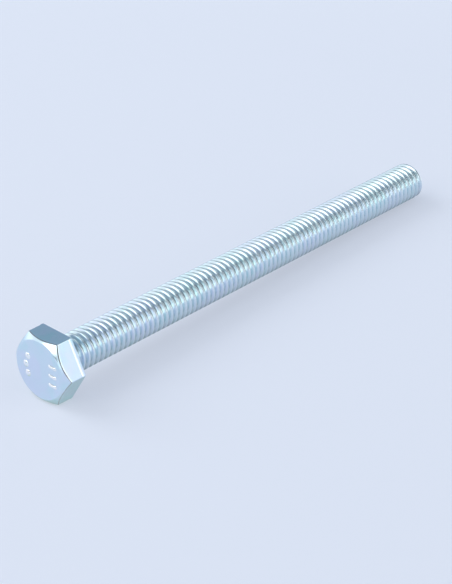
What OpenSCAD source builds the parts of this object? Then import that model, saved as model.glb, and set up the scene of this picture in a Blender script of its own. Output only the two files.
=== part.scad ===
// Hexagon head bolt, threaded to the head, with a chamfered point.
// It lies along +X: the bearing face under the head is at x = 0 and the tip is at +X.
// Two flats of the head are level, so the bolt lies on a flat with +Z up.

/* [Thread] */
// Nominal (major) diameter of the thread
thread_d = 6; // [5:0.1:8]
// Distance from one crest to the next
pitch = 1; // [0.75:0.05:1.5]
// Radial trim of the crests below the nominal diameter, as a rolled thread has
crest_trim = 0.03; // [0:0.01:0.1]
// Turns over which the thread grows to its full height
run_in_turns = 0.75; // [0.25:0.25:1.5]
// Flat steps in each turn of the thread
thread_steps = 16; // [12:1:18]

/* [Shank] */
// Length from the bearing face to the tip
shank_len = 80; // [40:1:90]
// Length of the plain neck between the bearing face and the thread
neck_len = 1; // [0.9:0.1:4]
// How much thinner than the thread the neck is, across its diameter
neck_trim = 0.65; // [0.4:0.05:0.9]
// Length of the cone that closes the neck onto the core of the thread
neck_cone = 0.4; // [0.2:0.05:0.5]
// Radius of the fillet where the neck meets the head
fillet_r = 0.4; // [0.2:0.05:0.5]
// How far the tip's chamfer goes on below the root of the thread, across the radius
tip_drop = 0.3; // [0.1:0.05:1]
// Angle of the tip's chamfer to the axis
tip_angle = 45; // [35:1:55]

/* [Head] */
// Size across the flats, which the wrench takes
across_flats = 10; // [9:0.1:13]
// Height of the head above the bearing face
head_h = 4; // [3:0.1:6]
// Distance from the edge of the flat top face to the flats
face_margin = 0.4; // [0.1:0.05:0.8]
// Angle of the top chamfer to the face
chamfer_angle = 38; // [15:1:45]
// Height of the rolled-over lower edge of the hexagon
roll_h = 0.25; // [0.15:0.05:0.8]
// How far the rolled-over edge turns in, across the flats on each side
roll_in = 0.1; // [0.06:0.02:0.3]

/* [Washer face] */
// Distance from the edge of the washer face to the flats
washer_margin = 0.5; // [0.2:0.05:0.8]
// Height of the washer face below the hexagon
washer_h = 0.3; // [0.15:0.05:0.5]

/* [Raised marks] */
// Height of the raised marks above the face
mark_h = 0.2; // [0.05:0.01:0.3]
// Distance of each group of marks from the edge of the face
mark_inset = 1.9; // [1.6:0.1:2.4]
// Diameter of a round pip
pip_d = 1.1; // [0.4:0.1:1.2]
// Number of pips
pip_count = 3; // [2:1:4]
// Spacing from pip to pip
pip_gap = 1.45; // [1.25:0.05:1.8]
// Length of a bar, along the radius
bar_len = 1.7; // [0.8:0.1:2.2]
// Width of a bar
bar_w = 0.6; // [0.3:0.05:0.7]
// Number of bars
bar_count = 3; // [1:1:3]
// Spacing from bar to bar
bar_gap = 1.5; // [1:0.05:1.6]

/* [Smoothness] */
// Segments in a full circle
round_steps = 96; // [48:4:160]

/* [Hidden] */
$fn = round_steps;

// Hexagon and the rings on it
sides = 6;
flat_turn = 180 / sides;
corner_r = across_flats / 2 / cos(flat_turn);
hexagon_h = head_h - washer_h;
face_r = across_flats / 2 - face_margin;
washer_r = across_flats / 2 - washer_margin;
mark_r = face_r - mark_inset;

// ISO metric profile: flanks at 30 degrees, a flat crest and a flat root
flank = tan(30);
crest_half = pitch / 16;
ridge_h = 0.61343 * pitch;
major_r = thread_d / 2;
crest_r = major_r - crest_trim;
root_r = major_r - ridge_h;
neck_r = major_r - neck_trim / 2;
foot_half = crest_half + ridge_h * flank;

// The tip's chamfer, a cone that cuts the core and the ridge alike
tip_slope = tan(tip_angle);
tip_r = root_r - tip_drop;
tip_cone = tip_drop / tip_slope;
tip_len = tip_cone + pitch / 2;

// The ridge starts against the neck and dies out where the cone meets the core
least_h = 0.02;
ridge_start = neck_len + foot_half;
ridge_end = shank_len - tip_cone + foot_half - 2 * least_h * (flank + 1 / tip_slope);
ridge_count = floor((ridge_end - ridge_start) / pitch * thread_steps);

// Turns a shape drawn up +Z so that it points along +X
module lay_down() {
    rotate([0, 90, 0]) children();
}

// Place along the shank where the tip's cone has a radius
function cone_x(r) = shank_len - (r - tip_r) / tip_slope;

// Half the width of the ridge at a radius
function half_at(r) = crest_half + (major_r - r) * flank;

// Radius where the cone meets the flank on one side (-1 head side, 1 tip side) of a ridge at x
function cone_on_flank(x, side) =
    (tip_r + (shank_len - x - side * (crest_half + major_r * flank)) * tip_slope)
    / (1 - side * flank * tip_slope);

// Top of one flank, as [radius, place along the shank], for the ridge at x after some turns
function flank_top(x, turn, side) =
    let (
        grown = root_r + (crest_r - root_r) * min(1, turn / run_in_turns),
        r = max(root_r + least_h, min(grown, cone_on_flank(x, side)))
    )
    [r, min(x + side * half_at(r), cone_x(r) - (1 - side) * least_h / 2)];

// Four corners of the ridge at one step: foot, top, top, foot
function ridge_ring(i) =
    let (
        turn = i / thread_steps,
        x = ridge_start + turn * pitch,
        foot_a = [root_r, x - foot_half],
        foot_b = [root_r, min(x + foot_half, shank_len - tip_cone)]
    )
    [for (p = [foot_a, flank_top(x, turn, -1), flank_top(x, turn, 1), foot_b])
        [p[0] * cos(360 * turn), p[0] * sin(360 * turn), p[1]]];

// The hexagon, with its top chamfer and its rolled-over lower edges
module hex_head() {
    cone_h = (corner_r - face_r) * tan(chamfer_angle);
    color("lightsteelblue") lay_down() translate([0, 0, -head_h]) difference() {
        intersection() {
            rotate([0, 0, flat_turn]) cylinder(h = hexagon_h, r = corner_r, $fn = sides);
            union() {
                cylinder(h = cone_h, r1 = face_r, r2 = corner_r);
                translate([0, 0, cone_h]) cylinder(h = hexagon_h - cone_h, r = corner_r + 1);
            }
        }
        for (i = [0 : sides - 1])
            rotate([0, 0, i * 360 / sides])
                translate([across_flats / 2, -across_flats / 2, hexagon_h - roll_h])
                    rotate([0, -atan(roll_in / roll_h), 0])
                        cube([across_flats, across_flats, head_h]);
    }
}

// Plain round pips raised on the face, in a gentle arc on one side
module pip_marks() {
    step = 2 * asin(pip_gap / 2 / mark_r);
    color("aliceblue") lay_down() translate([0, 0, -head_h - mark_h])
        for (i = [0 : pip_count - 1])
            rotate([0, 0, 90 + (i - (pip_count - 1) / 2) * step])
                translate([mark_r, 0, 0]) cylinder(h = mark_h, d = pip_d, $fn = 32);
}

// Plain bars raised on the face, side by side opposite the pips
module bar_marks() {
    color("aliceblue") lay_down() translate([0, 0, -head_h - mark_h])
        for (i = [0 : bar_count - 1])
            translate([(i - (bar_count - 1) / 2) * bar_gap, -mark_r, mark_h / 2])
                cube([bar_w, bar_len, mark_h], center = true);
}

// Ring under the hexagon that bears on the work
module washer_face() {
    color("silver") lay_down() translate([0, 0, -washer_h]) difference() {
        cylinder(h = washer_h, r = washer_r);
        translate([0, 0, -1]) cylinder(h = washer_h + 2, r = neck_r + fillet_r);
    }
}

// Plain neck: its root fills the ring, then a fillet, a plain length and a cone onto the core
module neck() {
    fillet = [for (a = [0 : 10 : 90])
        [neck_r + fillet_r * (1 - sin(a)), fillet_r * (1 - cos(a))]];
    outline = concat(
        [[0, -washer_h], [neck_r + fillet_r, -washer_h]],
        fillet,
        [[neck_r, neck_len - neck_cone], [root_r, neck_len], [0, neck_len]]
    );
    color("slategray") lay_down() rotate_extrude() polygon(outline);
}

// Core of the thread, at its root diameter
module thread_core() {
    color("slategray") lay_down() translate([0, 0, neck_len])
        cylinder(h = shank_len - tip_len - neck_len, r = root_r);
}

// Right-hand ridge of the thread, one solid wound along the core and out onto the tip
module thread_ridge() {
    corners = 4;
    last = corners * ridge_count;
    points = [for (i = [0 : ridge_count]) each ridge_ring(i)];
    walls = [for (i = [0 : corners : last - 1]) for (j = [0 : corners - 1])
        let (k = (j + 1) % corners)
        [i + j, i + k, i + corners + k, i + corners + j]];
    ends = [[3, 2, 1, 0], [last, last + 1, last + 2, last + 3]];
    color("lightsteelblue") lay_down()
        polyhedron(points = points, faces = concat(walls, ends), convexity = 10);
}

// End of the core, with a chamfer down to the flat end face
module chamfered_tip() {
    color("slategray") lay_down() translate([0, 0, shank_len - tip_len]) union() {
        cylinder(h = tip_len - tip_cone, r = root_r);
        translate([0, 0, tip_len - tip_cone]) cylinder(h = tip_cone, r1 = root_r, r2 = tip_r);
    }
}

hex_head();
pip_marks();
bar_marks();
washer_face();
neck();
thread_core();
thread_ridge();
chamfered_tip();
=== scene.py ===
import math

import bmesh
import bpy
from mathutils import Matrix, Vector


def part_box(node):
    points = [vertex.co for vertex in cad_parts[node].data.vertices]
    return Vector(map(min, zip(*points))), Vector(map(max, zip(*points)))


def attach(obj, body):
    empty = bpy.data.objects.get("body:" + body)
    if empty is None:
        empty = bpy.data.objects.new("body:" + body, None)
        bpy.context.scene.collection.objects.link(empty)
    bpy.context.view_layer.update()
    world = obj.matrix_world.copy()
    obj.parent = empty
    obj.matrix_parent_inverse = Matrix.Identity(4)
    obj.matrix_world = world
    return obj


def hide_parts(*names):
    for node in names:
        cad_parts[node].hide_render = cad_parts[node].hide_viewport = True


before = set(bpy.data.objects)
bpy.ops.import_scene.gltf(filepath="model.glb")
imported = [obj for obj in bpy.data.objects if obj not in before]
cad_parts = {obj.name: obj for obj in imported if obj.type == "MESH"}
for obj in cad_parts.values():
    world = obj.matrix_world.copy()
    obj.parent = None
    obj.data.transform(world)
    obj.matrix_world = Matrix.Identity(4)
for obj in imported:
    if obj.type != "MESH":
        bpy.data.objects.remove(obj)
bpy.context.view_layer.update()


# ---------------------------------------------------------------------------
# Threaded shank: neck, rolled thread and chamfered point.
# On the real bolt this is the drawn wire below the head, its thread pressed in
# by rolling dies, then zinc plated; it is one piece with the head.
# ---------------------------------------------------------------------------

def wire(tree, node, inputs):
    """Sets or wires a node's inputs by name or number."""
    for key, value in inputs.items():
        if isinstance(value, bpy.types.NodeSocket):
            tree.links.new(value, node.inputs[key])
        else:
            node.inputs[key].default_value = value


def add(tree, kind, inputs=None, **settings):
    """Adds a node to a tree, with its settings and inputs."""
    made = tree.nodes.new(kind)
    for key, value in settings.items():
        setattr(made, key, value)
    wire(tree, made, inputs or {})
    return made


def calc(tree, operation, *values):
    """Adds a Math node and gives back its result."""
    return add(tree, "ShaderNodeMath", dict(enumerate(values)), operation=operation).outputs[0]


def new_group(name, kind, inputs, outputs):
    """Starts a node group with named sockets; gives back the tree, its inputs and its output node."""
    tree = bpy.data.node_groups.new(name, kind)
    for label, (socket_type, value) in inputs.items():
        socket = tree.interface.new_socket(label, in_out="INPUT", socket_type=socket_type)
        if value is not None:
            socket.default_value = value
    for label, socket_type in outputs.items():
        tree.interface.new_socket(label, in_out="OUTPUT", socket_type=socket_type)
    return tree, tree.nodes.new("NodeGroupInput").outputs, tree.nodes.new("NodeGroupOutput")


def plating_bloom():
    """Cloudy tint of blue passivated zinc: three close colours that drift into each other."""
    tree, given, result = new_group("plating_bloom", "ShaderNodeTree", {
        "Vector": ("NodeSocketVector", None),
        "Patches per metre": ("NodeSocketFloat", 500.0),
        "Plain": ("NodeSocketColor", (0.68, 0.81, 0.92, 1)),
        "Cyan": ("NodeSocketColor", (0.62, 0.82, 0.90, 1)),
        "Violet": ("NodeSocketColor", (0.71, 0.79, 0.93, 1)),
    }, {"Colour": "NodeSocketColor"})
    clouds = [
        add(tree, "ShaderNodeTexNoise", {
            "Vector": given["Vector"],
            "Scale": calc(tree, "MULTIPLY", given["Patches per metre"], share),
            "Detail": 3.0, "Roughness": 0.55, "Distortion": 0.6,
        }).outputs["Fac"]
        for share in (1.0, 0.63)
    ]
    first, second = [
        add(tree, "ShaderNodeMapRange", {"Value": cloud, "From Min": 0.42, "From Max": 0.66},
            interpolation_type="SMOOTHSTEP").outputs[0]
        for cloud in clouds
    ]
    cyan = add(tree, "ShaderNodeMix", {0: first, 6: given["Plain"], 7: given["Cyan"]},
               data_type="RGBA").outputs[2]
    both = add(tree, "ShaderNodeMix", {0: second, 6: cyan, 7: given["Violet"]},
               data_type="RGBA").outputs[2]
    tree.links.new(both, result.inputs["Colour"])
    return tree


def fine_scuffs():
    """Marks of dies, barrel plating and handling: hair scratches two ways and a fine pitting."""
    tree, given, result = new_group("fine_scuffs", "ShaderNodeTree", {
        "Vector": ("NodeSocketVector", None),
        "Grain per metre": ("NodeSocketFloat", 9000.0),
        "Scratch weight": ("NodeSocketFloat", 0.5),
        "Roughness low": ("NodeSocketFloat", 0.16),
        "Roughness high": ("NodeSocketFloat", 0.34),
    }, {"Height": "NodeSocketFloat", "Roughness": "NodeSocketFloat"})
    hairs = []
    for turn, stretch in ((0.5, (1.0, 0.05, 1.0)), (-0.9, (1.0, 1.0, 0.06))):
        laid = add(tree, "ShaderNodeMapping", {
            "Vector": given["Vector"], "Rotation": (turn, 0.3 * turn, turn), "Scale": stretch,
        }).outputs[0]
        noise = add(tree, "ShaderNodeTexNoise", {
            "Vector": laid, "Scale": calc(tree, "MULTIPLY", given["Grain per metre"], 0.35),
            "Detail": 2.0,
        }).outputs["Fac"]
        hairs.append(add(tree, "ShaderNodeMapRange", {
            "Value": noise, "From Min": 0.60, "From Max": 0.72,
        }).outputs[0])
    scratches = calc(tree, "MULTIPLY", calc(tree, "MAXIMUM", *hairs), given["Scratch weight"])
    pits = add(tree, "ShaderNodeTexNoise", {
        "Vector": given["Vector"], "Scale": given["Grain per metre"], "Detail": 2.0,
    }).outputs["Fac"]
    worn = add(tree, "ShaderNodeTexNoise", {
        "Vector": given["Vector"],
        "Scale": calc(tree, "MULTIPLY", given["Grain per metre"], 0.07), "Detail": 4.0,
    }).outputs["Fac"]
    height = calc(tree, "SUBTRACT", calc(tree, "MULTIPLY", pits, 0.5), scratches)
    rough = add(tree, "ShaderNodeMapRange", {
        "Value": calc(tree, "ADD", worn, calc(tree, "MULTIPLY", scratches, 0.4)),
        "From Min": 0.3, "From Max": 0.9,
        "To Min": given["Roughness low"], "To Max": given["Roughness high"],
    }).outputs[0]
    tree.links.new(height, result.inputs["Height"])
    tree.links.new(rough, result.inputs["Roughness"])
    return tree


def edge_wear_and_shade():
    """Edges and crests take another tone, broken up by a noise: rubbed plating, and on the head dark
    painted shade.
    """
    tree, given, result = new_group("edge_wear_and_shade", "ShaderNodeTree", {
        "Vector": ("NodeSocketVector", None),
        "Edge": ("NodeSocketFloat", 0.0),
        "Breaks per metre": ("NodeSocketFloat", 1500.0),
        "Colour": ("NodeSocketColor", (0.68, 0.81, 0.92, 1)),
        "Worn and shaded colour": ("NodeSocketColor", (0.86, 0.90, 0.92, 1)),
        "Roughness": ("NodeSocketFloat", 0.25),
        "Rubbed roughness": ("NodeSocketFloat", 0.14),
    }, {"Colour": "NodeSocketColor", "Roughness": "NodeSocketFloat"})
    breaks = add(tree, "ShaderNodeTexNoise", {
        "Vector": given["Vector"], "Scale": given["Breaks per metre"], "Detail": 3.0,
    }).outputs["Fac"]
    wear_and_shade = add(tree, "ShaderNodeMapRange", {
        "Value": calc(tree, "MULTIPLY", given["Edge"], calc(tree, "ADD", breaks, 0.35)),
        "From Min": 0.45, "From Max": 0.85,
    }, interpolation_type="SMOOTHSTEP").outputs[0]
    colour = add(tree, "ShaderNodeMix", {0: wear_and_shade, 6: given["Colour"], 7: given["Worn and shaded colour"]},
                 data_type="RGBA").outputs[2]
    rough = add(tree, "ShaderNodeMapRange", {
        "Value": wear_and_shade, "To Min": given["Roughness"], "To Max": given["Rubbed roughness"],
    }).outputs[0]
    tree.links.new(colour, result.inputs["Colour"])
    tree.links.new(rough, result.inputs["Roughness"])
    return tree


BLOOM = plating_bloom()
SCUFFS = fine_scuffs()
EDGE_WEAR_AND_SHADE = edge_wear_and_shade()
SCUFF_DEPTH = 0.00004       # of the bump, before its strength


def placed(tree, group, values):
    """Places a shader group in a material with its own values."""
    node = add(tree, "ShaderNodeGroup", node_tree=group)
    wire(tree, node, values)
    return node


def zinc(name, grain, bump, rough, edge, tints=None, patches=330.0, scratch=0.5, groove_shade=None,
         worn_and_shaded_edge_colour=(0.74, 0.84, 0.92, 1), underside_shade_colour=(0.20, 0.56, 0.14, 1)):
    """Bright zinc plating.

    edge is an attribute and the values between which it becomes an edge. Of the other colours, the
    one for a thread's roots is painted shade over a little darker plating, the one for edges is rubbed
    plating, dark painted shade on the head, and the one for the underside is painted shade with a teal
    cast.
    """
    made = bpy.data.materials.new(name)
    made.use_nodes = True
    tree = made.node_tree
    shader = tree.nodes["Principled BSDF"]
    place = add(tree, "ShaderNodeTexCoord").outputs["Object"]
    colour = placed(tree, BLOOM, {
        "Vector": place, "Patches per metre": patches, **(tints or {})}).outputs["Colour"]
    scuffs = placed(tree, SCUFFS, {
        "Vector": place, "Grain per metre": grain, "Scratch weight": scratch,
        "Roughness low": rough[0], "Roughness high": rough[1]})
    attribute, low, high = edge
    shape = add(tree, "ShaderNodeAttribute", attribute_name=attribute).outputs["Fac"]
    # Thread roots darkened: painted shade, over a little darker plating left in the grooves
    if groove_shade:
        groove_shade_mask = add(tree, "ShaderNodeMapRange", {
            "Value": shape, "From Min": 0.0, "From Max": 0.55, "To Min": 1.0, "To Max": 0.0,
        }).outputs[0]
        colour = add(tree, "ShaderNodeMix", {0: groove_shade_mask, 6: colour, 7: groove_shade},
                     data_type="RGBA").outputs[2]
    # Painted shade: the more a point faces down, the darker and more teal it is made
    underside = add(tree, "ShaderNodeAttribute", attribute_name="underside").outputs["Fac"]
    underside_shade = calc(tree, "POWER", underside, 2.0)
    colour = add(tree, "ShaderNodeMix", {0: underside_shade, 6: colour, 7: underside_shade_colour},
                 data_type="RGBA", blend_type="MULTIPLY").outputs[2]
    nearness = add(tree, "ShaderNodeMapRange", {
        "Value": shape, "From Min": low, "From Max": high}).outputs[0]
    wear_and_shade = placed(tree, EDGE_WEAR_AND_SHADE, {
        "Vector": place, "Edge": nearness, "Colour": colour, "Worn and shaded colour": worn_and_shaded_edge_colour,
        "Roughness": scuffs.outputs["Roughness"]})
    relief = add(tree, "ShaderNodeBump", {
        "Height": scuffs.outputs["Height"], "Strength": bump, "Distance": SCUFF_DEPTH,
    })
    tree.links.new(wear_and_shade.outputs["Colour"], shader.inputs["Base Color"])
    tree.links.new(wear_and_shade.outputs["Roughness"], shader.inputs["Roughness"])
    tree.links.new(relief.outputs[0], shader.inputs["Normal"])
    shader.inputs["Metallic"].default_value = 1.0
    return made


def built(name, tree, values, seed=None):
    """Runs a Geometry Nodes tree once, on a seed mesh if it takes one, and keeps a plain mesh."""
    piece = bpy.data.objects.new(name, seed or bpy.data.meshes.new(name))
    bpy.context.scene.collection.objects.link(piece)
    maker = piece.modifiers.new("maker", "NODES")
    maker.node_group = tree
    for socket in tree.interface.items_tree:
        if socket.in_out == "INPUT" and socket.name in values:
            maker[socket.identifier] = values[socket.name]
    bpy.context.view_layer.update()
    graph = bpy.context.evaluated_depsgraph_get()
    mesh = bpy.data.meshes.new_from_object(
        piece.evaluated_get(graph), preserve_all_data_layers=True, depsgraph=graph)
    piece.modifiers.remove(maker)
    piece.data = mesh
    return piece


SEAM = 0.000002             # points of the wound skin closer than this are one


def rolled_thread_tree():
    """A skin wound round the axis: its rows follow the helix, so each crest is one smooth line."""
    sizes = {name: ("NodeSocketFloat", 0.0) for name in (
        "Pitch", "Nominal radius", "Crest radius", "Root radius", "Neck radius", "Neck length",
        "Fillet radius", "Start", "Length", "Tip radius", "Thread start", "Run-in turns", "Softness")}
    counts = {name: ("NodeSocketInt", 1) for name in ("Columns per turn", "Steps around")}
    tree, given, result = new_group(
        "threaded_shank", "GeometryNodeTree",
        {**sizes, **counts, "Finish": ("NodeSocketMaterial", None)},
        {"Geometry": "NodeSocketGeometry"})

    def do(operation, *values):
        return calc(tree, operation, *values)

    pitch, start, length = given["Pitch"], given["Start"], given["Length"]
    rows = do("ADD", given["Steps around"], 1.0)
    turns = do("ADD", do("DIVIDE", do("SUBTRACT", length, start), pitch), 3.0)
    columns = do("CEIL", do("MULTIPLY", turns, given["Columns per turn"]))
    skin = add(tree, "GeometryNodeMeshGrid", {"Vertices X": columns, "Vertices Y": rows})
    index = add(tree, "GeometryNodeInputIndex").outputs[0]
    column = do("FLOOR", do("DIVIDE", do("ADD", index, 0.5), rows))
    around = do("DIVIDE", do("SUBTRACT", index, do("MULTIPLY", column, rows)),
                given["Steps around"])

    # Place along the axis: first on the unwound strip, which starts two turns before the shank
    # and ends a turn after it, then after winding it round
    strip = do("ADD", do("SUBTRACT", start, do("MULTIPLY", pitch, 2.0)),
               do("DIVIDE", do("MULTIPLY", column, pitch), given["Columns per turn"]))
    along = do("ADD", strip, do("MULTIPLY", around, pitch))

    # ISO profile: distance from the nearest crest gives the flank, cut by crest and root
    phase = do("DIVIDE", do("SUBTRACT", strip, given["Thread start"]), pitch)
    off_crest = do("MULTIPLY", do("ABSOLUTE", do("SUBTRACT", phase, do("ROUND", phase))), pitch)
    flank = do("ADD", given["Nominal radius"],
               do("DIVIDE", do("SUBTRACT", do("DIVIDE", pitch, 16.0), off_crest),
                  math.tan(math.radians(30))))
    soften = do("MULTIPLY", pitch, given["Softness"])
    crest = given["Crest radius"]
    thread = do("SMOOTH_MAX", do("SMOOTH_MIN", flank, crest, soften), given["Root radius"], soften)

    # The thread fades into the neck over the run-in, and ends on the tip's chamfer of 45 degrees
    neck = given["Neck radius"]
    grown = do("DIVIDE", do("SUBTRACT", along, given["Neck length"]),
               do("MULTIPLY", pitch, given["Run-in turns"]))
    fade = add(tree, "ShaderNodeMapRange", {"Value": grown},
               interpolation_type="SMOOTHSTEP").outputs[0]
    over = do("MULTIPLY_ADD", do("SUBTRACT", crest, neck), fade, neck)
    under = do("MULTIPLY_ADD", do("SUBTRACT", given["Root radius"], neck), fade, neck)
    body = do("MAXIMUM", do("MINIMUM", thread, over), under)
    chamfer = do("ADD", given["Tip radius"], do("SUBTRACT", length, along))
    body = do("SMOOTH_MIN", body, chamfer, do("MULTIPLY", pitch, 0.06))

    # Fillet under the head: a quarter circle down to the neck
    drop = do("MINIMUM", do("MAXIMUM", do("SUBTRACT", given["Fillet radius"], along), 0.0),
              given["Fillet radius"])
    arc = do("SQRT", do("SUBTRACT", do("MULTIPLY", given["Fillet radius"], given["Fillet radius"]),
                        do("MULTIPLY", drop, drop)))
    body = do("ADD", body, do("SUBTRACT", given["Fillet radius"], arc))

    # Past each end the skin closes onto the axis in one turn, which makes the flat ends; from the
    # end face on, its radius is no more than the tip's
    before = do("ADD", do("DIVIDE", do("SUBTRACT", along, start), pitch), 1.0)
    after = do("SUBTRACT", 1.0, do("DIVIDE", do("SUBTRACT", along, length), pitch))
    closing = do("MAXIMUM", do("MINIMUM", do("MINIMUM", before, after), 1.0), 0.0)
    end = do("MINIMUM", do("MAXIMUM", along, start), length)
    flat_tip = do("MINIMUM", body, do("MULTIPLY_ADD", do("GREATER_THAN", length, along), 1.0,
                                      given["Tip radius"]))
    radius = do("MULTIPLY", flat_tip, closing)

    angle = do("MULTIPLY", around, 2 * math.pi)
    place = add(tree, "ShaderNodeCombineXYZ", {
        "X": end,
        "Y": do("MULTIPLY", radius, do("SINE", angle)),
        "Z": do("MULTIPLY", do("MULTIPLY", radius, do("COSINE", angle)), -1.0),
    }).outputs[0]
    wound = add(tree, "GeometryNodeSetPosition", {
        "Geometry": skin.outputs["Mesh"], "Position": place})

    # How high each point is on the ridge, and how far round it is towards the underside
    share = do("DIVIDE", do("SUBTRACT", radius, given["Root radius"]),
               do("SUBTRACT", crest, given["Root radius"]))
    marked = add(tree, "GeometryNodeStoreNamedAttribute", {
        "Geometry": wound.outputs[0], "Name": "ridge_height", "Value": share,
    }, data_type="FLOAT", domain="POINT")
    below = add(tree, "GeometryNodeStoreNamedAttribute", {
        "Geometry": marked.outputs[0], "Name": "underside",
        "Value": do("MAXIMUM", do("COSINE", angle), 0.0),
    }, data_type="FLOAT", domain="POINT")
    sewn = add(tree, "GeometryNodeMergeByDistance", {
        "Geometry": below.outputs[0], "Distance": SEAM})
    smooth = add(tree, "GeometryNodeSetShadeSmooth", {"Geometry": sewn.outputs[0]})
    real = add(tree, "GeometryNodeRealizeInstances", {"Geometry": smooth.outputs[0]})
    finished = add(tree, "GeometryNodeSetMaterial", {
        "Geometry": real.outputs[0], "Material": given["Finish"]})
    tree.links.new(finished.outputs[0], result.inputs["Geometry"])
    return tree


def face_out(piece, merge=0.0000005):
    """Closes any seam or pinhole and turns every face outwards."""
    shape = bmesh.new()
    shape.from_mesh(piece.data)
    bmesh.ops.remove_doubles(shape, verts=shape.verts, dist=merge)
    bmesh.ops.dissolve_degenerate(shape, edges=shape.edges, dist=merge)
    bmesh.ops.holes_fill(shape, edges=[edge for edge in shape.edges if edge.is_boundary])
    bmesh.ops.recalc_face_normals(shape, faces=shape.faces)
    shape.to_mesh(piece.data)
    shape.free()
    piece.data.update()


PITCH = 0.001
RIDGE_HEIGHT = 0.61343      # of the ISO profile, from root to nominal diameter, in pitches
HALF_FOOT = 0.41667         # half the width of the ridge at its root, in pitches
TIP_DROP = 0.0003           # from the root of the thread down to the end face
FILLET_RADIUS = 0.0004
neck_low, neck_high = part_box("neck")
core_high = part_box("thread_core")[1]
ridge_low, ridge_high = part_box("thread_ridge")
tip_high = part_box("chamfered_tip")[1]
thread_zinc = zinc(
    "zinc_on_thread", grain=14000.0, bump=0.16, rough=(0.18, 0.28), edge=("ridge_height", 0.8, 1.0),
    tints={"Plain": (0.70, 0.82, 0.88, 1), "Cyan": (0.64, 0.81, 0.86, 1),
           "Violet": (0.70, 0.79, 0.90, 1)},
    # the darker root colour: painted shade over a little darker plating
    groove_shade=(0.66, 0.78, 0.83, 1), worn_and_shaded_edge_colour=(0.72, 0.83, 0.88, 1),
    # the dark teal underside colour: painted shade
    underside_shade_colour=(0.15, 0.22, 0.17, 1))
shank = built("threaded_shank", rolled_thread_tree(), {
    "Pitch": PITCH,
    "Nominal radius": core_high.z + RIDGE_HEIGHT * PITCH,
    "Crest radius": ridge_high.z,
    "Root radius": core_high.z,
    "Neck radius": neck_high.z - FILLET_RADIUS,
    "Neck length": neck_high.x,
    "Fillet radius": FILLET_RADIUS,
    "Start": neck_low.x,
    "Length": tip_high.x,
    "Tip radius": core_high.z - TIP_DROP,
    "Thread start": ridge_low.x + HALF_FOOT * PITCH,
    "Run-in turns": 0.75,
    "Softness": 0.16,
    "Columns per turn": 16,
    "Steps around": 54,
    "Finish": thread_zinc,
})
face_out(shank)
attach(shank, "root")
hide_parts("neck", "thread_core", "thread_ridge", "chamfered_tip")


# ---------------------------------------------------------------------------
# Hexagon head, cold-forged on the end of the same wire.
# The dies leave a flat face inside a conical chamfer, slightly soft corners and
# a rolled-over lower edge; it takes the wrench, and is zinc plated like the rest.
# ---------------------------------------------------------------------------

head_low, head_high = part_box("hex_head")
FLAT_REACH = head_high.z
FACE_MARGIN = 0.0004        # from the edge of the face to the flats
FACE_RADIUS = FLAT_REACH - FACE_MARGIN
CHAMFER = math.tan(math.radians(38))
CORNER_ROUND = 0.0002       # radius of the six upright corners
FACE_ROUND = 0.00014        # softening between the face and the chamfer
RIM_ROUND = 0.00016         # and between the chamfer and the sides
LIP_STEP = 0.00004          # how far the lip stands out from the sides
LIP_HEIGHT = 0.0007
LIP_RISE = 0.0001
ROLL_HEIGHT = 0.00025       # of the rolled-over lower edge
ROLL_IN = 0.0001
EDGE_ANGLE = math.radians(14)       # a bend this sharp counts as an edge
# Degrees from a corner: close to it, along the flat in even steps, and close to the next one
CORNER_OFFSETS = (-1.0, -0.7, -0.35, 0.0, 0.35, 0.7, 1.0, 1.5, 2.5)
FLAT_START, FLAT_WIDTH, FLAT_STEPS = 4, 52, 24
CORNER_APPROACH = (57.5, 58.5)


def hexagon_reach(angle):
    """Distance from the axis to the side of the hexagon, with rounded corners, at an angle from +Z."""
    off_corner = (angle + math.radians(60)) % math.radians(60) - math.radians(30)
    inner = (FLAT_REACH - CORNER_ROUND) / math.cos(math.radians(30))
    limit = math.atan2(CORNER_ROUND * 0.5, inner + CORNER_ROUND * math.cos(math.radians(30)))
    if abs(off_corner) <= limit:
        across = inner * math.sin(off_corner)
        return inner * math.cos(off_corner) + math.sqrt(CORNER_ROUND ** 2 - across ** 2)
    off_flat = math.radians(30) - abs(off_corner)
    return FLAT_REACH / math.cos(off_flat)


def bend(first, middle, last, steps):
    """Points on a soft bend from first to last, pulled towards middle."""
    return [
        tuple((1 - t) ** 2 * a + 2 * t * (1 - t) * b + t * t * c
              for a, b, c in zip(first, middle, last))
        for t in (i / steps for i in range(steps + 1))
    ]


def head_outline(reach):
    """Outline of the head, as (along the axis, out from it), from the face to the underside."""
    top, under = head_low.x, head_high.x
    side = reach - LIP_STEP
    rim = top + (side - FACE_RADIUS) * CHAMFER
    slope = math.hypot(1, CHAMFER)
    points = [(top, FACE_RADIUS * share) for share in (0.25, 0.5, 0.75, 0.88, 0.94)]
    points += bend((top, FACE_RADIUS - FACE_ROUND), (top, FACE_RADIUS),
                   (top + FACE_ROUND * CHAMFER / slope, FACE_RADIUS + FACE_ROUND / slope), 4)
    points += bend((rim - RIM_ROUND * CHAMFER / slope, side - RIM_ROUND / slope), (rim, side),
                   (rim + RIM_ROUND, side), 4)
    lip = under - LIP_HEIGHT
    points += [(rim + RIM_ROUND + (lip - rim - RIM_ROUND) * share, side)
               for share in (0.04, 0.12, 0.35, 0.65, 0.88, 0.96)]
    points += bend((lip, side), (lip + LIP_RISE / 2, side), (lip + LIP_RISE, (side + reach) / 2), 3)
    points += bend((lip + LIP_RISE, (side + reach) / 2), (lip + LIP_RISE * 1.5, reach),
                   (lip + LIP_RISE * 2, reach), 3)[1:]
    points += bend((under - ROLL_HEIGHT, reach), (under - 0.2 * ROLL_HEIGHT, reach - 0.1 * ROLL_IN),
                   (under, reach - ROLL_IN), 6)
    edge = points[-1][1]
    points += [(under, edge * share) for share in (0.985, 0.95, 0.85, 0.7, 0.5, 0.25)]
    return points


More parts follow.
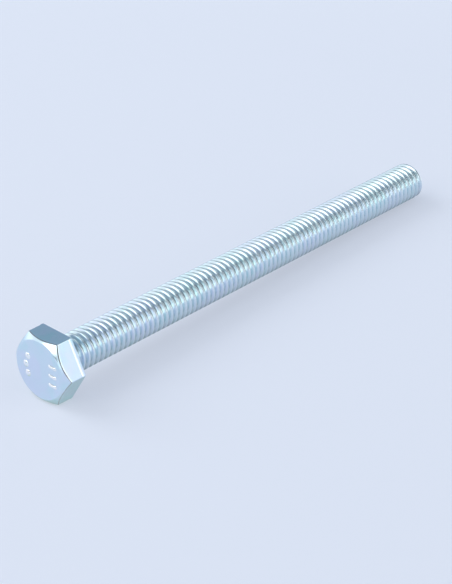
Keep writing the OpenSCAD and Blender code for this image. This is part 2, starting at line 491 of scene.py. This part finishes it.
def side_angles():
    """Angles round the head: close together at the soft corners, even along the flats."""
    offsets = [*CORNER_OFFSETS]
    offsets += [FLAT_START + FLAT_WIDTH * i / FLAT_STEPS for i in range(FLAT_STEPS + 1)]
    offsets += CORNER_APPROACH
    return [math.radians(30 + 60 * side + offset) for side in range(6) for offset in offsets]


def turned_skin(name, angles, outline_at, hollow=False):
    """Joins one outline per angle into a closed skin: a pole at each end, or a ring if hollow.

    It stores how sharply the skin bends at each point, 0 on a flat and 1 on an edge, and how far
    it faces down.
    """
    outlines = [outline_at(angle) for angle in angles]
    mesh = bpy.data.meshes.new(name)
    shape = bmesh.new()
    rings = [
        [shape.verts.new((x, r * math.sin(angle), r * math.cos(angle)))
         for angle, (x, r) in zip(angles, ring)]
        for ring in zip(*outlines)
    ]
    count = len(angles)
    followers = rings[1:] + rings[:1] if hollow else rings[1:]
    for ring, following in zip(rings, followers):
        for i in range(count):
            j = (i + 1) % count
            shape.faces.new((ring[i], ring[j], following[j], following[i]))
    poles = () if hollow else (rings[0], rings[-1])
    for ring in poles:
        pole = shape.verts.new((ring[0].co.x, 0, 0))
        for i in range(count):
            shape.faces.new((ring[i], ring[(i + 1) % count], pole))
    bmesh.ops.recalc_face_normals(shape, faces=shape.faces)
    shape.normal_update()
    nearness = shape.verts.layers.float.new("edge_nearness")
    underside = shape.verts.layers.float.new("underside")
    for point in shape.verts:
        sharpest = max(edge.calc_face_angle(0) for edge in point.link_edges)
        point[nearness] = min(1.0, sharpest / EDGE_ANGLE)
        point[underside] = max(0.0, -point.normal.z)
    for face in shape.faces:
        face.smooth = True
    shape.to_mesh(mesh)
    shape.free()
    return mesh


def turned_piece(name, angles, outline_at, material, hollow=False):
    """A turned skin as an object of one material."""
    mesh = turned_skin(name, angles, outline_at, hollow)
    mesh.materials.append(material)
    piece = bpy.data.objects.new(name, mesh)
    bpy.context.scene.collection.objects.link(piece)
    return piece


# Its edge colour is dark grey: painted dark lines of shade and reflection along the head's edges, not
# wear
head_zinc = zinc("zinc_on_head", grain=9000.0, bump=0.08, rough=(0.20, 0.27),
                 edge=("edge_nearness", 0.85, 1.0), worn_and_shaded_edge_colour=(0.42, 0.42, 0.40, 1))
head = turned_piece("forged_hex_head", side_angles(),
                    lambda angle: head_outline(hexagon_reach(angle)), head_zinc)
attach(head, "root")
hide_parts("hex_head")


# ---------------------------------------------------------------------------
# Raised marks on the face of the head, pressed up by the heading die.
# Plain stand-ins for a maker's and a grade mark: three round pips on one side and
# three short bars on the other, of the same steel and plating as the head.
# ---------------------------------------------------------------------------

PIP_RADIUS = 0.00055
BAR_WIDTH = 0.0006
MARK_COUNT = 3
MARK_SUNK = 0.00005         # depth of each mark's foot below the face
DOME_SHARES = (1.0, 0.95, 0.86, 0.74, 0.6, 0.45, 0.28, 0.12)


def row_of_marks_tree():
    """Sets copies of one mark in a row on the face, each turned and shifted on from the last."""
    tree, given, result = new_group("row_of_marks", "GeometryNodeTree", {
        "Mark": ("NodeSocketGeometry", None),
        "Count": ("NodeSocketInt", MARK_COUNT),
        "Middle across": ("NodeSocketFloat", 0.0),
        "Face place": ("NodeSocketFloat", 0.0),
        "Turn step": ("NodeSocketFloat", 0.0),
        "Shift step": ("NodeSocketFloat", 0.0),
        "Finish": ("NodeSocketMaterial", None),
    }, {"Geometry": "NodeSocketGeometry"})

    def do(operation, *values):
        return calc(tree, operation, *values)

    index = add(tree, "GeometryNodeInputIndex").outputs[0]
    step = do("SUBTRACT", index, do("MULTIPLY", do("SUBTRACT", given["Count"], 1.0), 0.5))
    turn = do("MULTIPLY", step, given["Turn step"])
    place = add(tree, "ShaderNodeCombineXYZ", {
        "X": given["Face place"],
        "Y": do("MULTIPLY", given["Middle across"], do("COSINE", turn)),
        "Z": do("ADD", do("MULTIPLY", given["Middle across"], do("SINE", turn)),
                do("MULTIPLY", step, given["Shift step"])),
    }).outputs[0]
    spots = add(tree, "GeometryNodePoints", {"Count": given["Count"], "Position": place})
    copies = add(tree, "GeometryNodeInstanceOnPoints", {
        "Points": spots.outputs[0], "Instance": given["Mark"],
        "Rotation": add(tree, "ShaderNodeCombineXYZ", {"X": turn}).outputs[0],
    })
    real = add(tree, "GeometryNodeRealizeInstances", {"Geometry": copies.outputs[0]})
    finished = add(tree, "GeometryNodeSetMaterial", {
        "Geometry": real.outputs[0], "Material": given["Finish"]})
    tree.links.new(finished.outputs[0], result.inputs["Geometry"])
    return tree


def pillow_outline(reach, height):
    """Outline of a pressed-up mark: a low dome, steepest at its foot."""
    dome = [(-height * (1 - share ** 2), reach * share) for share in DOME_SHARES]
    return [(MARK_SUNK, reach)] + dome


def bar_reach(angle, length, width):
    """Distance from the middle of a round-ended bar to its side, at an angle from +Z."""
    along, across = abs(math.sin(angle)), abs(math.cos(angle))
    straight = (length - width) / 2
    if across > 1e-6 and along * width / 2 / across <= straight:
        return width / 2 / across
    return straight * along + math.sqrt((width / 2) ** 2 - (straight * across) ** 2)


def even_angles(count):
    """Angles evenly spaced round a full circle."""
    return [2 * math.pi * i / count for i in range(count)]


mark_zinc = zinc("zinc_on_marks", grain=9000.0, bump=0.3, rough=(0.08, 0.14),
                 edge=("edge_nearness", 0.2, 1.0), patches=900.0, worn_and_shaded_edge_colour=(0.96, 0.97, 0.98, 1),
                 tints={"Plain": (0.92, 0.95, 0.97, 1), "Cyan": (0.86, 0.94, 0.96, 1),
                        "Violet": (0.93, 0.93, 0.97, 1)})
marks_tree = row_of_marks_tree()
pip_low, pip_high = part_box("pip_marks")
bar_low, bar_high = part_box("bar_marks")
pip_ring = pip_high.y - PIP_RADIUS
pip_turn = math.asin((pip_high.z - PIP_RADIUS) / pip_ring)
bar_length = bar_high.y - bar_low.y
mark_height = head_low.x - pip_low.x
pips = built("raised_pips", marks_tree, {
    "Count": MARK_COUNT, "Middle across": pip_ring, "Face place": head_low.x,
    "Turn step": pip_turn, "Shift step": 0.0, "Finish": mark_zinc,
}, turned_skin("pip", even_angles(28),
               lambda angle: pillow_outline(PIP_RADIUS, mark_height)))
bars = built("raised_bars", marks_tree, {
    "Count": MARK_COUNT, "Middle across": (bar_low.y + bar_high.y) / 2, "Face place": head_low.x,
    "Turn step": 0.0, "Shift step": bar_high.z - BAR_WIDTH / 2, "Finish": mark_zinc,
}, turned_skin("bar", even_angles(40),
               lambda angle: pillow_outline(bar_reach(angle, bar_length, BAR_WIDTH), mark_height)))
for marks, node in ((pips, "pip_marks"), (bars, "bar_marks")):
    face_out(marks)
    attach(marks, "root")
    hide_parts(node)


# ---------------------------------------------------------------------------
# Washer face: the low round ring under the hexagon that bears on the work.
# It is pressed with the head; its rim is slightly rounded.
# ---------------------------------------------------------------------------

ring_low, ring_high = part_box("washer_face")
RIM_SOFTNESS = 0.00008


def ring_outline(angle):
    """Outline of the ring, round the root of the neck."""
    rim, inner = ring_high.z, neck_high.z
    under = ring_high.x
    points = [(ring_low.x, inner), (ring_low.x, rim)]
    points += bend((under - RIM_SOFTNESS, rim), (under, rim), (under, rim - RIM_SOFTNESS), 4)
    points += [(under, rim - (rim - inner) * share) for share in (0.1, 0.4, 0.8, 1.0)]
    return points


washer_zinc = zinc("zinc_on_washer_face", grain=12000.0, bump=0.12, rough=(0.18, 0.28),
                   edge=("edge_nearness", 0.2, 1.0), patches=500.0)
ring = turned_piece("washer_ring", even_angles(120), ring_outline, washer_zinc, hollow=True)
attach(ring, "root")
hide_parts("washer_face")


# ---------------------------------------------------------------------------
# Studio: pale floor, soft light, camera.
# The floor leans so that it touches the head's lower edge and the tip's crests.
# ---------------------------------------------------------------------------

floor_mesh = bpy.data.meshes.new("floor")
shape = bmesh.new()
lean = (ridge_low.z - head_low.z) / (tip_high.x - head_high.x)
FLOOR_REACH = 3.0
for side_x, side_y in ((-1, -1), (1, -1), (1, 1), (-1, 1)):
    x, y = side_x * FLOOR_REACH, side_y * FLOOR_REACH
    shape.verts.new((x, y, head_low.z + (x - head_high.x) * lean))
shape.faces.new(shape.verts)
shape.to_mesh(floor_mesh)
shape.free()
floor = bpy.data.objects.new("floor", floor_mesh)
bpy.context.scene.collection.objects.link(floor)
floor_paint = bpy.data.materials.new("pale_floor")
floor_paint.use_nodes = True
floor_tree = floor_paint.node_tree
floor_shader = floor_tree.nodes["Principled BSDF"]
floor_shader.inputs["Base Color"].default_value = (0.33, 0.34, 0.375, 1)
floor_shader.inputs["Roughness"].default_value = 0.6
floor_shader.inputs["Specular IOR Level"].default_value = 0.1
# The floor glows by itself, more further from the bolt: painted light that lifts its shadows and
# brightens the far floor that the metal reflects
spot = add(floor_tree, "ShaderNodeTexCoord").outputs["Object"]
reach = add(floor_tree, "ShaderNodeVectorMath", {0: spot}, operation="LENGTH").outputs["Value"]
far_off = add(floor_tree, "ShaderNodeMapRange", {
    "Value": reach, "From Min": 0.12, "From Max": 0.40,
}, interpolation_type="SMOOTHSTEP").outputs[0]
glow = add(floor_tree, "ShaderNodeMix", {
    0: far_off, 6: (0.42, 0.455, 0.535, 1), 7: (0.66, 0.72, 0.78, 1),
}, data_type="RGBA").outputs[2]
floor_tree.links.new(glow, floor_shader.inputs["Emission Color"])
floor_shader.inputs["Emission Strength"].default_value = 1.0
floor_mesh.materials.append(floor_paint)

world = bpy.data.worlds.new("studio")
world.use_nodes = True
bpy.context.scene.world = world
sky = world.node_tree
direction = add(sky, "ShaderNodeTexCoord").outputs["Generated"]
axes = add(sky, "ShaderNodeSeparateXYZ", {0: direction}).outputs
height = calc(sky, "ARCSINE", axes["Z"])


def step_up(value, edge, softness):
    """0 below an edge and 1 above it, in degrees on an angle in radians."""
    return add(sky, "ShaderNodeMapRange", {
        "Value": value,
        "From Min": math.radians(edge - softness), "From Max": math.radians(edge + softness),
    }, interpolation_type="SMOOTHSTEP").outputs[0]


def panel(below, towards, half_width, low, high, colour, softness):
    """Lays a soft-edged light or dark panel over the sky, centred on a compass angle from +X."""
    east, north = math.cos(math.radians(towards)), math.sin(math.radians(towards))
    ahead = calc(sky, "MULTIPLY_ADD", axes["X"], east, calc(sky, "MULTIPLY", axes["Y"], north))
    aside = calc(sky, "MULTIPLY_ADD", axes["Y"], east, calc(sky, "MULTIPLY", axes["X"], -north))
    turn = calc(sky, "ABSOLUTE", calc(sky, "ARCTAN2", aside, ahead))
    inside = calc(sky, "SUBTRACT", 1.0, step_up(turn, half_width, softness))
    band = calc(sky, "SUBTRACT", step_up(height, low, softness * 0.5),
                step_up(height, high, softness))
    mask = calc(sky, "MULTIPLY", inside, band)
    return add(sky, "ShaderNodeMix", {0: mask, 6: below, 7: (*colour, 1)},
               data_type="RGBA").outputs[2]


# Each panel's compass angle, half width, lowest and highest elevation, colour and softness, with
# all angles in degrees; a later panel lies over the ones before it
PANELS = (
    (35, 60, -90, 75, (0.30, 0.40, 0.50), 10),  # dim room behind
    (338, 42, -90, 24, (0.84, 0.91, 1.03), 5),  # bright wall at the right
    (272, 24, 28, 66, (0.16, 0.20, 0.23), 5),   # dark ceiling by the camera
    (284, 16, -90, 26, (2.10, 2.00, 1.90), 5),  # brightest part of the wall, low down
    (304, 12, 24, 50, (2.30, 2.20, 2.10), 5),   # and higher up, further round
    (234, 29, -90, 62, (0.12, 0.15, 0.18), 5),  # dark room by the camera
    (122, 27, -90, 36, (1.00, 1.03, 1.06), 6),  # pale wall at the left
    (108, 14, -90, 15, (1.28, 1.34, 1.40), 5),  # its brightest part
    (200, 20, -90, 9, (1.20, 1.27, 1.30), 3),   # bright foot of the far wall
    (207, 10, -90, 22, (1.20, 1.27, 1.30), 4),  # and its end beside the gap
    (186, 10, 8, 21, (0.08, 0.12, 0.15), 3),    # dark gap below the softbox
    (172, 23, 20, 52, (2.2, 2.2, 2.1), 5),      # softbox
    (165, 15, 14, 30, (2.2, 2.2, 2.1), 3),      # its lower end, turned away
)
light = add(sky, "ShaderNodeRGB").outputs[0]
light.default_value = (0.40, 0.47, 0.54, 1)
for settings in PANELS:
    light = panel(light, *settings)
background = sky.nodes["Background"]
sky.links.new(light, background.inputs["Color"])
background.inputs["Strength"].default_value = 1.0

key = bpy.data.lights.new("key", "AREA")
key.shape = "DISK"
key.size = 1.0
key.energy = 9.0
key.color = (0.93, 0.97, 1.0)
key_lamp = bpy.data.objects.new("key", key)
key_place = Vector((-0.35, 0.95, 0.80))
key_turn = key_place.to_track_quat("Z", "Y").to_matrix().to_4x4()
key_lamp.matrix_world = Matrix.Translation(key_place) @ key_turn
key_lamp.visible_glossy = False
bpy.context.scene.collection.objects.link(key_lamp)

lens = bpy.data.cameras.new("camera")
lens.sensor_width = 36.0
lens.lens = 138.2
camera = bpy.data.objects.new("camera", lens)
azimuth, elevation, distance = math.radians(-48.63), math.radians(28.93), 0.3442
away = Vector((math.sin(azimuth) * math.cos(elevation),
               -math.cos(azimuth) * math.cos(elevation), math.sin(elevation)))
aim_azimuth, aim_elevation = azimuth + math.radians(0.64), elevation + math.radians(0.77)
camera_roll = math.radians(1.25)
shank_middle = Vector((tip_high.x / 2, 0, 0))
camera.matrix_world = (
    Matrix.Translation(shank_middle + away * distance)
    @ Matrix.Rotation(aim_azimuth, 4, "Z")
    @ Matrix.Rotation(math.pi / 2 - aim_elevation, 4, "X")
    @ Matrix.Rotation(camera_roll, 4, "Z")
)
bpy.context.scene.collection.objects.link(camera)
bpy.context.scene.camera = camera
bpy.context.scene.view_settings.view_transform = "Standard"
